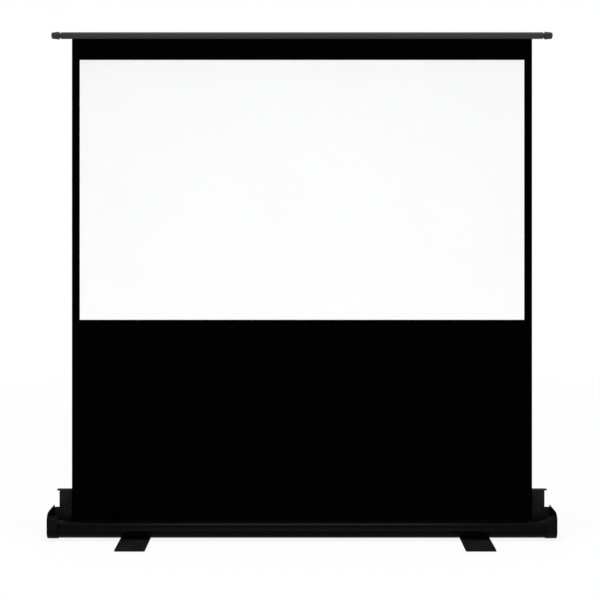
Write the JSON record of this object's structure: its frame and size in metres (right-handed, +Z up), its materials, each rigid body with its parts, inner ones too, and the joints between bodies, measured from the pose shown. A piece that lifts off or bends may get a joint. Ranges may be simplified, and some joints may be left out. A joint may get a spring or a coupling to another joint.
{
  "type": "floor-standing projection screen",
  "caption": "Floor-standing pull-up projection screen: black-bordered white cloth between a low roller case on swivel feet and a top bar raised by a crossed-arm lift.",
  "frame": {"origin": "on the floor, under the middle of the case and of the feet", "axes": "+X along the case, to the viewer's right; -Y to the front; +Z up"},
  "size_m": [2.002, 0.36, 2.0102],
  "materials": {
    "case_coat": "extruded, black semi-gloss powder coat",
    "cap_plastic": "black moulded plastic, fine grain",
    "lid_coat": "sheet, black satin powder coat",
    "screen_cloth": "matt white picture area with a black border and drop",
    "roll_cloth": "black coated cloth",
    "bar_coat": "extruded, black anodised, semi-gloss",
    "knob_plastic": "black moulded plastic",
    "rail_coat": "extruded, black satin coat",
    "lift_coat": "flat bar, black satin coat",
    "foot_coat": "black textured coat on steel",
    "pin_steel": "zinc-plated steel",
    "roller_metal": "mill-finish tube",
    "nylon": "natural nylon",
    "pad_rubber": "black rubber"
  },
  "bodies": {
    "case": {"case_body": "case_coat", "end_cap_left": "cap_plastic", "end_cap_right": "cap_plastic", "end_cap_screws": "pin_steel", "roller_bracket_left": "pin_steel", "roller_bracket_right": "pin_steel", "bracket_screws": "pin_steel", "spring_spindle": "pin_steel", "idle_spindle": "pin_steel", "roller_spring": "pin_steel", "lift_base_rail": "rail_coat", "base_rail_screws": "pin_steel", "base_pivot_pin": "pin_steel", "case_hinge_leaves": "lift_coat", "hinge_pins": "pin_steel", "foot_pivot_bolts": "pin_steel", "foot_pivot_washers": "nylon", "foot_pivot_nuts": "pin_steel", "screen_fabric": "screen_cloth"},
    "roller": {"roller_tube": "roller_metal", "roller_plug_left": "nylon", "roller_plug_right": "nylon", "fabric_roll": "roll_cloth"},
    "lower_arm_a": {"lower_arm_a": "lift_coat", "lower_cross_pin": "pin_steel", "right_knee_pin": "pin_steel"},
    "lower_arm_b": {"lower_arm_b": "lift_coat", "left_knee_pin": "pin_steel", "base_slide_pin": "pin_steel", "base_slide_roller": "nylon"},
    "upper_arm_b": {"upper_arm_b": "lift_coat", "upper_cross_pin": "pin_steel"},
    "upper_arm_a": {"upper_arm_a": "lift_coat", "top_slide_pin": "pin_steel", "top_slide_roller": "nylon"},
    "top_bar": {"top_bar": "bar_coat", "bar_knob_left": "knob_plastic", "bar_knob_right": "knob_plastic", "top_rail": "rail_coat", "top_pivot_pin": "pin_steel", "fabric_clamp_strip": "roller_metal"},
    "lid": {"lid_panel": "lid_coat", "lid_hinge_leaves": "lift_coat"},
    "left_foot": {"left_foot_plate": "foot_coat", "left_foot_pads": "pad_rubber"},
    "right_foot": {"right_foot_plate": "foot_coat", "right_foot_pads": "pad_rubber"}
  },
  "joints": [
    {"name": "lift", "type": "hinge", "parent": "case", "child": "lower_arm_a", "pos_m": [-0.50144, 0.0255, 0.0255], "axis": [0, -1, 0], "range_deg": [-43.39, 0], "deforming": ["screen_fabric"]},
    {"name": "lower_cross", "type": "hinge", "parent": "lower_arm_a", "child": "lower_arm_b", "pos_m": [0, 0.0255, 0.51392], "axis": [0, -1, 0], "range_deg": [0, 87.64]},
    {"name": "right_knee", "type": "hinge", "parent": "lower_arm_a", "child": "upper_arm_b", "pos_m": [0.50144, 0.0255, 1.00235], "axis": [0, -1, 0], "range_deg": [0, 87.64]},
    {"name": "upper_cross", "type": "hinge", "parent": "upper_arm_b", "child": "upper_arm_a", "pos_m": [0, 0.0255, 1.49077], "axis": [0, -1, 0], "range_deg": [-87.64, 0]},
    {"name": "top_pivot", "type": "hinge", "parent": "upper_arm_b", "child": "top_bar", "pos_m": [-0.50144, 0.0255, 1.9792], "axis": [0, -1, 0], "range_deg": [-43.82, 0]},
    {"name": "roller_spin", "type": "hinge", "parent": "case", "child": "roller", "pos_m": [0, -0.01655, 0.0384], "axis": [1, 0, 0], "range_deg": [-4820.33, 0]},
    {"name": "lid_hinge", "type": "hinge", "parent": "case", "child": "lid", "pos_m": [0, 0.062, 0.0985], "axis": [1, 0, 0], "range_deg": [-15, 3]},
    {"name": "left_foot_swivel", "type": "hinge", "parent": "case", "child": "left_foot", "pos_m": [-0.657, 0, 0.0035], "axis": [0, 0, 1], "range_deg": [0, 90]},
    {"name": "right_foot_swivel", "type": "hinge", "parent": "case", "child": "right_foot", "pos_m": [0.682, 0, 0.0035], "axis": [0, 0, 1], "range_deg": [-90, 0]}
  ],
  "couplings": [
    {"joint": "lower_cross", "follows": "lift", "ratio": -2},
    {"joint": "right_knee", "follows": "lift", "ratio": -2},
    {"joint": "upper_cross", "follows": "lift", "ratio": 2},
    {"joint": "top_pivot", "follows": "lift", "ratio": 1},
    {"joint": "roller_spin", "follows": "lift", "ratio": 110}
  ]
}
